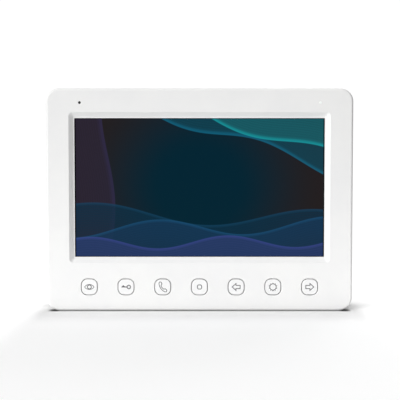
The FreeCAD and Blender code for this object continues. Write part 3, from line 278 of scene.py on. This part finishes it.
def light_guide_acrylic(name):
    """Clear acrylic with the fine grid of white dots that lets the light out."""
    material = Material(name, transmission_weight=0.9, ior=1.49)
    x, _, z = material.axes()
    pitch, dot_radius, solid_radius = 1.2 * MM, 0.28 * MM, 0.22 * MM
    across = x.wrapped(pitch) - pitch / 2
    up = z.wrapped(pitch) - pitch / 2
    dot = (across * across + up * up).smooth(dot_radius**2, solid_radius**2)
    material.set(
        base_color=material.mix(dot, srgb(240, 250, 248), srgb(255, 255, 255)),
        roughness=dot.between(0.05, 0.65),
    )
    return material


def circuit_board(name):
    """Green solder mask over copper: tracks at right angles, and tinned holes."""
    material = Material(name, specular_ior_level=0.5)
    x, _, z = material.axes()
    pitch, wander = 1.27 * MM, material.noise(9.0, detail=1.0) * (4 * MM)
    across = (x + wander).wrapped(pitch) - pitch / 2
    up = (z + wander).wrapped(pitch) - pitch / 2
    columns = material.noise(14.0, detail=1.0).above(0.52)
    rows = material.noise(11.0, detail=1.0, place=material.stretched(1, 1, 1.7)).above(0.54)
    upright = across.abs().smooth(0.2 * MM, 0.15 * MM) * columns
    level = up.abs().smooth(0.2 * MM, 0.15 * MM) * rows
    copper = upright.highest(level)
    via = material.cells(6.5).smooth(0.075, 0.055)
    mask = material.mix(copper, srgb(16, 82, 48), srgb(30, 112, 62))
    material.set(
        base_color=material.mix(via, mask, srgb(196, 190, 170)),
        roughness=material.noise(2.0).between(0.28, 0.4),
        metallic=via,
    )
    return material.bump(copper + via, depth_mm=0.035)


def paper_cone(name):
    """Black pressed paper of matted fibres."""
    material = Material(name, roughness=0.9, specular_ior_level=0.15)
    fibres = material.noise(0.35, detail=6.0)
    material.set(base_color=material.mix(fibres.smooth(0.35, 0.75), srgb(26, 26, 27), srgb(58, 57, 55)))
    return material.bump(fibres, depth_mm=0.12)


def copper_winding(name):
    """Enamelled copper wire, wound in close turns along the coil's axis."""
    material = Material(name, metallic=1.0)
    _, y, _ = material.axes()
    turn_pitch = 0.18 * MM
    turn_relief_and_shade = (y * (2 * math.pi / turn_pitch)).sin() * 0.5 + 0.5
    # Painted shade: the colour darkens into the grooves between turns, where the bump is low; the same wave
    # gives the bump its relief.
    material.set(
        base_color=material.mix(turn_relief_and_shade, srgb(120, 52, 22), srgb(204, 116, 62)),
        roughness=turn_relief_and_shade.between(0.22, 0.37),
    )
    return material.bump(turn_relief_and_shade, depth_mm=0.08)


def sheathed_wires(name):
    """Two coloured wires in each pair of leads: the left one black, the right one red."""
    material = Material(name, specular_ior_level=0.4)
    x, _, _ = material.axes()
    speaker_middle, sound_middle = (middle_of(leads).x for leads in ("speaker_leads", "microphone_leads"))
    left_half = x.smooth(1 * MM, -1 * MM)
    red = x.above(speaker_middle) + x.above(sound_middle) * left_half
    grain = material.noise(0.6)
    coloured = material.mix(red, srgb(24, 24, 26), srgb(168, 22, 24))
    material.set(
        base_color=material.mix(grain * 0.25, coloured, srgb(70, 30, 30)),
        roughness=grain.between(0.38, 0.53),
    )
    return material.bump(grain, depth_mm=0.01)


def lit_plastic(name, light, dark, patch_mm, rough, emission, **sockets):
    """Milky plastic or silicone that light shines through from inside."""
    material = Material(name, **sockets)
    patches = material.noise(patch_mm)
    tint = material.mix(patches, srgb(*light), srgb(*dark))
    material.set(base_color=tint, roughness=patches.between(*rough))
    material.set(emission_color=tint, emission_strength=emission)
    return material


# ---- the display's picture ----------------------------------------------------------------------


def screen(name):
    """The lit display: a dark wallpaper of soft waves, with the unlit border of the glass round it."""
    material = Material(name, specular_ior_level=0.03)
    low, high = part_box("front_polariser")
    border = 1.4 * MM
    height = high.z - low.z - 2 * border
    width = high.x - low.x - 2 * border
    x, _, z = material.axes()
    across = (x - (low.x + border)) / height
    up = (z - (low.z + border)) / height
    wide, blur = width / height, 0.002
    lit_across = across.smooth(0.0, blur) * across.smooth(wide, wide - blur)
    lit_up = up.smooth(0.0, blur) * up.smooth(1.0, 1.0 - blur)
    film_grain = material.noise(0.4, detail=2.0)
    material.set(
        base_color=material.mix(film_grain, srgb(2, 2, 3), srgb(6, 6, 7)),
        roughness=film_grain.between(0.16, 0.26),
        emission_color=material.mix(lit_across * lit_up, srgb(3, 4, 6), wallpaper(material, across, up)),
        emission_strength=1.0,
    )
    return material


def swell(place, level, wave):
    """A level with a cosine wave on it: the wave is its height, its length and the place of its crest."""
    height, length, crest = wave
    return ((place - crest) * (2 * math.pi / length)).cos() * height + level


def veil(material, picture, depth, colour, opacity, rim_colour, rim, rim_width):
    """The picture under a translucent veil of fine lines with a bright rim. Depth is measured inwards."""
    line_pitch, edge = 0.017, 0.008
    inside = depth.smooth(0.0, edge)
    lines = (depth * (2 * math.pi / line_pitch)).sin() * 0.12 + 0.88
    covered = material.mix(inside * lines * opacity, picture, colour)
    return material.glow(covered, rim_colour, inside * depth.smooth(rim_width, 0.0) * rim)


def wallpaper(material, across, up):
    """Generic rolling waves of light over a plain dark ground. The picture is one unit high."""
    from_middle = ((across - 0.9) ** 2.0 + (up - 0.5) ** 2.0) ** 0.5
    picture = material.mix(from_middle.smooth(0.26, 0.9), srgb(0, 36, 50), srgb(34, 29, 30))

    curtain = swell(up, 0.24, (0.05, 1.5, 0.35)) - across
    picture = veil(
        material, picture, curtain, colour=srgb(44, 37, 53), opacity=0.85,
        rim_colour=srgb(60, 60, 130), rim=0.12, rim_width=0.05,
    )

    # Each wave has its level at the left edge, its slope, its swing, and its body's and its rim's colour.
    falling = (
        (1.24, -0.34, (0.05, 1.15, 0.2), srgb(14, 66, 82), srgb(10, 130, 170)),
        (1.38, -0.36, (0.06, 1.3, 0.55), srgb(24, 92, 100), srgb(0, 210, 216)),
    )
    for level, slope, swing, colour, rim_colour in falling:
        depth = up - swell(across, level, swing) - across * slope
        opacity = depth.smooth(1.2, 0.0) * 0.9
        picture = veil(material, picture, depth, colour, opacity, rim_colour, rim=0.3, rim_width=0.04)
    rising = (
        (0.33, -0.03, (0.07, 1.6, 0.15), srgb(10, 47, 68), srgb(30, 90, 130)),
        (0.2, 0.02, (0.06, 1.25, 0.6), srgb(20, 54, 84), srgb(30, 110, 160)),
        (0.1, 0.01, (0.045, 1.0, 0.1), srgb(42, 58, 104), srgb(80, 80, 190)),
    )
    for level, slope, swing, colour, rim_colour in rising:
        depth = swell(across, level, swing) + across * slope - up
        opacity = depth.smooth(0.7, 0.0) * 0.85
        picture = veil(material, picture, depth, colour, opacity, rim_colour, rim=0.2, rim_width=0.03)
    return picture


# ---- which node wears which material -------------------------------------------------------------


def middle_of(name):
    low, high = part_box(name)
    return (low + high) / 2


CAST_AND_MOULDED = {
    "white_casing": dict(
        light=(246, 246, 245), dark=(243, 243, 243), patch_mm=30, rough=(0.36, 0.44),
        relief_mm=0.005, relief_grain_mm=0.22, specular_ior_level=0.5,
    ),
    "key_cap": dict(
        light=(247, 247, 247), dark=(244, 244, 244), patch_mm=8, rough=(0.34, 0.42),
        relief_mm=0.004, relief_grain_mm=0.16, specular_ior_level=0.35,
    ),
    "white_mould": dict(light=(238, 238, 236), dark=(228, 228, 224), patch_mm=12, rough=(0.45, 0.6)),
    "black_epoxy": dict(
        light=(30, 30, 32), dark=(20, 20, 21), patch_mm=3, rough=(0.55, 0.7),
        relief_mm=0.012, relief_grain_mm=0.15,
    ),
    "ferrite": dict(
        light=(72, 72, 76), dark=(50, 50, 54), patch_mm=1.5, rough=(0.5, 0.75), relief_mm=0.03
    ),
    "connector_nylon": dict(
        light=(232, 228, 212), dark=(222, 216, 196), patch_mm=4, rough=(0.4, 0.55), relief_mm=0.008
    ),
    "switch_body": dict(light=(34, 34, 36), dark=(20, 20, 21), patch_mm=2, rough=(0.45, 0.6)),
    "plunger": dict(light=(44, 44, 46), dark=(30, 30, 32), patch_mm=1.2, rough=(0.3, 0.45)),
    "speaker_steel": dict(light=(40, 40, 43), dark=(28, 28, 30), patch_mm=5, rough=(0.35, 0.5)),
    "black_rubber": dict(
        light=(16, 16, 17), dark=(8, 8, 9), patch_mm=2, rough=(0.7, 0.85),
        relief_mm=0.02, specular_ior_level=0.15,
    ),
}

METALS = {
    "plated_screw": dict(light=(206, 207, 210), dark=(160, 162, 166), rough=(0.2, 0.38)),
    "frame_steel": dict(light=(208, 210, 212), dark=(182, 184, 188), rough=(0.22, 0.36)),
    "capacitor_can": dict(light=(214, 216, 220), dark=(186, 188, 194), rough=(0.24, 0.4)),
    "tinned_pin": dict(light=(222, 222, 218), dark=(196, 194, 186), rough=(0.14, 0.3)),
    "cell_steel": dict(light=(216, 217, 218), dark=(192, 193, 196), rough=(0.12, 0.24)),
    "magnet_steel": dict(light=(188, 190, 194), dark=(150, 152, 158), rough=(0.25, 0.4)),
}

FILMS = {
    "mirror_film": dict(light=(236, 238, 240), dark=(220, 222, 226), rough=(0.04, 0.1), metallic=1.0),
    "milky_film": dict(
        light=(244, 245, 246), dark=(232, 234, 238), rough=(0.4, 0.55), transmission_weight=0.3
    ),
    "display_glass": dict(
        light=(20, 26, 30), dark=(28, 34, 40), rough=(0.03, 0.08), transmission_weight=0.4
    ),
}

FLAT_CABLES = {
    "polyimide": dict(
        sheet=(196, 120, 38), track=(160, 84, 24), pitch_mm=0.5, width_mm=0.22, rough=(0.26, 0.38)
    ),
    "white_ribbon": dict(
        sheet=(226, 229, 234), track=(176, 178, 180), pitch_mm=1.0, width_mm=0.6, rough=(0.34, 0.46)
    ),
}

LIT_PLASTICS = {
    # The LED's silicone over yellow phosphor, and the lamp's light pipe.
    "lamp_lens": dict(
        light=(250, 246, 214), dark=(240, 226, 150), patch_mm=0.5, rough=(0.25, 0.45), emission=0.6,
        subsurface_weight=0.4, subsurface_scale=0.5 * MM,
    ),
    "pipe_plastic": dict(
        light=(255, 255, 255), dark=(248, 250, 252), patch_mm=0.4, rough=(0.2, 0.35), emission=0.2,
        subsurface_weight=0.3, subsurface_scale=1 * MM,
    ),
}

ONE_OF_A_KIND = {
    "zinc_steel": zinc_steel,
    "black_foam": foam,
    "clear_acrylic": light_guide_acrylic,
    "screen": screen,
    "circuit_board": circuit_board,
    "speaker_paper": paper_cone,
    "copper_coil": copper_winding,
    "wire_sheath": sheathed_wires,
}


def dress():
    """Puts a material on every CAD node, by the record's material slots."""
    made = {name: maker(name) for name, maker in ONE_OF_A_KIND.items()}
    families = (
        (grained, CAST_AND_MOULDED), (brushed, METALS), (film, FILMS), (tracked, FLAT_CABLES),
        (lit_plastic, LIT_PLASTICS),
    )
    for maker, recipes in families:
        for name, recipe in recipes.items():
            made[name] = maker(name, **recipe)
    for part in frame["record"]["subparts"]:
        slots = nodes[part["node"]].data.materials
        slots.clear()
        slots.append(made[part["material_slot"]].made)


# ---- printed icons -------------------------------------------------------------------------------

INK_WIDTH = 0.5  # millimetres, as are all the icons' sizes
INK_RISE = 0.02
ARC_STEP = 12  # degrees between two points of an arc


def arc(x, z, radius, start, end):
    """Points round an arc, from one angle in degrees to another."""
    count = max(2, round(abs(end - start) / ARC_STEP))
    angles = [math.radians(start + (end - start) * i / count) for i in range(count + 1)]
    return [(x + radius * math.cos(a), z + radius * math.sin(a)) for a in angles]


def offset_side(points, distance, closed):
    """The points moved sideways, with mitred corners."""
    moved = []
    count = len(points)
    for i, point in enumerate(points):
        before = points[i - 1] if closed or i else None
        after = points[(i + 1) % count] if closed or i < count - 1 else None
        sides = []
        for a, b in ((before, point), (point, after)):
            if a and b:
                run = (Vector(b) - Vector(a)).normalized()
                sides.append(Vector((-run.y, run.x)))
        mitre = sum(sides, Vector((0, 0))).normalized()
        moved.append(Vector(point) + mitre * distance / max(0.3, mitre.dot(sides[0])))
    return moved


class Icon:
    """The ink of one icon: flat shapes in millimetres about the key's middle, a little above the cap."""

    def __init__(self, key):
        self.key = key
        low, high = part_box(key)
        self.middle = Vector(((low.x + high.x) / 2, low.y, (low.z + high.z) / 2))
        self.mesh = bmesh.new()

    def corner(self, point, rise):
        return self.mesh.verts.new(self.middle + Vector((point[0], -rise, point[1])) * MM)

    def slab(self, outline):
        """A raised flat shape from the outline of its corners, in anticlockwise order."""
        top = [self.corner(p, INK_RISE) for p in outline]
        foot = [self.corner(p, -INK_RISE) for p in outline]
        self.mesh.faces.new(top)
        self.mesh.faces.new(foot[::-1])
        for i in range(len(outline)):
            self.mesh.faces.new((top[i - 1], foot[i - 1], foot[i], top[i]))

    def line(self, points, closed=False, width=INK_WIDTH):
        """A printed line along the points."""
        left = offset_side(points, width / 2, closed)
        right = offset_side(points, -width / 2, closed)
        section = ((right, -INK_RISE), (right, INK_RISE), (left, INK_RISE), (left, -INK_RISE))
        rows = [[self.corner(p, rise) for p in side] for side, rise in section]
        for i in range(len(points) if closed else len(points) - 1):
            j = (i + 1) % len(points)
            for a, b in zip(rows, rows[1:] + rows[:1]):
                self.mesh.faces.new((a[i], a[j], b[j], b[i]))
        if not closed:
            for i in (0, -1):
                self.mesh.faces.new([row[i] for row in rows])

    def ring(self, x, z, radius, width=INK_WIDTH):
        self.line(arc(x, z, radius, 0, 360)[:-1], True, width)

    def finish(self, ink):
        bmesh.ops.recalc_face_normals(self.mesh, faces=self.mesh.faces)
        data = bpy.data.meshes.new(self.key + "_icon")
        self.mesh.to_mesh(data)
        self.mesh.free()
        piece = bpy.data.objects.new(self.key + "_icon", data)
        bpy.context.scene.collection.objects.link(piece)
        data.materials.append(ink)
        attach(piece, self.key + "_body")


def draw_eye(icon):
    """Two lids, each one arc, and a round iris."""
    reach, rise = 2.95, 1.55
    lid_radius = (reach * reach + rise * rise) / (2 * rise)
    half = math.degrees(math.asin(reach / lid_radius))
    upper = arc(0, rise - lid_radius, lid_radius, 90 + half, 90 - half)
    lower = [(-x, -z) for x, z in upper]
    icon.line(upper[:-1] + lower[:-1], closed=True, width=0.4)
    icon.ring(0, 0, radius=1.22)


def draw_key(icon):
    """A round bow, a straight shank and one bit on it."""
    bow, bow_radius, shank_end = 1.7, 1.08, -2.85
    bit = [(-2.75, 0.2), (-0.6, 0.2), (-1.7, 1.15)]
    icon.ring(bow, 0, bow_radius, width=0.58)
    icon.line([(shank_end, 0), (bow - bow_radius, 0)], width=0.6)
    icon.slab(bit)


def softened(points):
    """A closed outline with its corners cut off twice, which leaves it smooth."""
    for _ in range(2):
        pairs = zip(points, points[1:] + points[:1])
        points = [a.lerp(b, share) for a, b in pairs for share in (0.25, 0.75)]
    return points


def draw_handset(icon):
    """The outline of a telephone handset that hangs from upper left to lower right, hollow side up."""
    back = [(0, -1.05), (1.2, -0.95), (2.3, -0.6), (3.3, -0.15)]
    cup = [(3.75, 0.5), (3.4, 1.3), (2.5, 1.4), (1.75, 1.1), (1.5, 0.25), (0.8, -0.1)]
    half = [Vector(point) for point in back + cup]
    other = [Vector((-along, aside)) for along, aside in reversed(half[1:])]
    turn = Matrix.Rotation(math.radians(-55), 2)
    middle = Vector((-0.42, -0.3))
    outline = [turn @ point + middle for point in softened(half + other)]
    icon.line(outline, closed=True, width=0.44)


def draw_square(icon):
    """A small square's outline with round corners."""
    half, corner = 1.3, 0.85
    flat = half - corner
    outline = []
    for x, z, start in ((flat, flat, 0), (-flat, flat, 90), (-flat, -flat, 180), (flat, -flat, 270)):
        outline += arc(x, z, corner, start, start + 90)
    icon.line(outline, closed=True)


def draw_arrow(icon, side):
    """An arrow's outline that points to one side: -1 is left, 1 is right."""
    neck, tail, tip, half, head = 0.15, -2.4, 2.55, 1.02, 2.15
    upper = [(neck, head), (neck, half), (tail, half)]
    outline = [(x, -z) for x, z in upper[::-1]] + [(tip, 0)] + upper
    icon.line([(x * side, z) for x, z in outline], closed=True)


def draw_gear(icon):
    """A ring with pointed teeth round it."""
    teeth, foot_radius, tip_radius, half_foot = 10, 2.05, 2.85, 13
    icon.ring(0, 0, radius=1.95, width=0.42)
    for i in range(teeth):
        angle = 360 / teeth * i + 90
        foot = arc(0, 0, foot_radius, angle - half_foot, angle + half_foot)
        tip = arc(0, 0, tip_radius, angle, angle)[0]
        icon.slab([foot[0], tip, foot[-1]])


def print_icons():
    drawings = {
        "key_view": draw_eye,
        "key_unlock": draw_key,
        "key_talk": draw_handset,
        "key_menu": draw_square,
        "key_left": lambda icon: draw_arrow(icon, -1),
        "key_settings": draw_gear,
        "key_right": lambda icon: draw_arrow(icon, 1),
    }
    ink = grained(
        "icon_ink", light=(108, 108, 110), dark=(94, 94, 97), patch_mm=0.5, rough=(0.45, 0.6),
        relief_mm=0.004, relief_grain_mm=0.1,
    )
    for key, draw in drawings.items():
        icon = Icon(key)
        draw(icon)
        icon.finish(ink.made)


# ---- studio --------------------------------------------------------------------------------------


def add_floor():
    """A pale floor with a painted contact shadow where the monitor stands and a painted glow round it, that
    fades into the white background.
    """
    bpy.ops.mesh.primitive_plane_add(size=4, location=(0, 0, cad_box[0][2]))
    floor = bpy.context.object
    floor.name = "floor"
    material = Material("floor", roughness=0.9, specular_ior_level=0.1)
    x, y, _ = material.axes()

    # How far a place is past each side of the monitor's own footprint.
    front = cad_box[0][1]
    side = x.abs() - cad_box[1][0]
    beside = side.highest(0.0)
    before = (y * -1.0 + front).highest(0.0)
    behind = y.highest(0.0)
    # A place beside or behind counts as five times as far, so the floor reaches mostly forwards.
    elsewhere = (beside * beside + behind * behind) ** 0.5 * 5.0
    gap = (before * before + elsewhere * elsewhere) ** 0.5
    fade_start, fade_end = 0.24, 0.45

    # Painted shade: a dark line painted under the front edge and a darker painted spot under each lower
    # corner, standing in for the contact shadow.
    line_inset, line_reach = 2 * MM, 6.2 * MM
    spot_inset, spot_reach, spot_core = 4.5 * MM, 4.5 * MM, 1 * MM
    painted_shade_band = (y - (front + line_inset)).abs().smooth(line_reach, 0.0)
    foot = painted_shade_band * side.smooth(0.5 * MM, -5 * MM)
    corner = painted_shade_band * (side + spot_inset).abs().smooth(spot_reach, spot_core)
    paper = material.mix(material.noise(3.0), srgb(250, 250, 250), srgb(247, 247, 247))
    shaded = material.mix(foot, paper, srgb(120, 120, 120))

    # A slight painted glow lifts the monitor's wide shadow, and more of it beside and behind.
    all_round, at_sides = 0.26, 0.22
    glow = gap.smooth(-4 * MM, 50 * MM) * all_round + (beside + behind).smooth(0.0, 30 * MM) * at_sides
    material.set(
        # The base colour carries the painted contact shadow: grey along the front edge, near black at the
        # corners.
        base_color=material.mix(corner, shaded, srgb(30, 30, 30)),
        emission_color=srgb(255, 255, 255),
        emission_strength=glow,
        alpha=gap.smooth(fade_end, fade_start),
    )
    floor.data.materials.append(material.made)


def add_light(name, place, size, power):
    """A round soft light that faces the monitor."""
    data = bpy.data.lights.new(name, "AREA")
    data.shape = "DISK"
    data.size = size
    data.energy = power
    light = bpy.data.objects.new(name, data)
    light.location = place
    light.rotation_euler = (-Vector(place)).to_track_quat("-Z", "Y").to_euler()
    bpy.context.scene.collection.objects.link(light)


def add_world(light_strength, shown_strength):
    """A soft even light all round, and a brighter white background that only the camera sees."""
    world = bpy.data.worlds.new("studio")
    world.use_nodes = True
    tree = world.node_tree
    light = tree.nodes["Background"]
    shown = tree.nodes.new("ShaderNodeBackground")
    for background, strength in ((light, light_strength), (shown, shown_strength)):
        background.inputs["Color"].default_value = (1, 1, 1, 1)
        background.inputs["Strength"].default_value = strength
    path = tree.nodes.new("ShaderNodeLightPath")
    mix = tree.nodes.new("ShaderNodeMixShader")
    tree.links.new(path.outputs["Is Camera Ray"], mix.inputs[0])
    tree.links.new(light.outputs[0], mix.inputs[1])
    tree.links.new(shown.outputs[0], mix.inputs[2])
    tree.links.new(mix.outputs[0], tree.nodes["World Output"].inputs["Surface"])
    bpy.context.scene.world = world


def add_camera():
    """The camera, a little above the monitor's middle and straight in front of it."""
    distance, elevation, lens_mm = 0.6, math.radians(3.0), 87.2
    target = Vector((0.3 * MM, cad_box[0][1], 0.1 * MM))
    data = bpy.data.cameras.new("camera")
    data.lens = lens_mm
    camera = bpy.data.objects.new("camera", data)
    camera.location = target + Vector((0, -math.cos(elevation), math.sin(elevation))) * distance
    camera.rotation_euler = (target - camera.location).to_track_quat("-Z", "Y").to_euler()
    bpy.context.scene.collection.objects.link(camera)
    bpy.context.scene.camera = camera


# Each light's name, place, width in metres and power in watts.
LIGHTS = (
    ("key", (-2.75, -2.25, 0.65), 1.8, 71.5),
    ("high", (-1.9, -2.9, 2.0), 1.8, 32.5),
    ("top", (0.0, -0.35, 2.4), 2.0, 16.0),
    ("back", (0.9, 2.4, 1.3), 1.8, 18.0),
)

add_camera()
dress()
print_icons()
add_floor()
for light in LIGHTS:
    add_light(*light)
add_world(light_strength=0.25, shown_strength=1.05)
bpy.context.scene.view_settings.view_transform = "Standard"
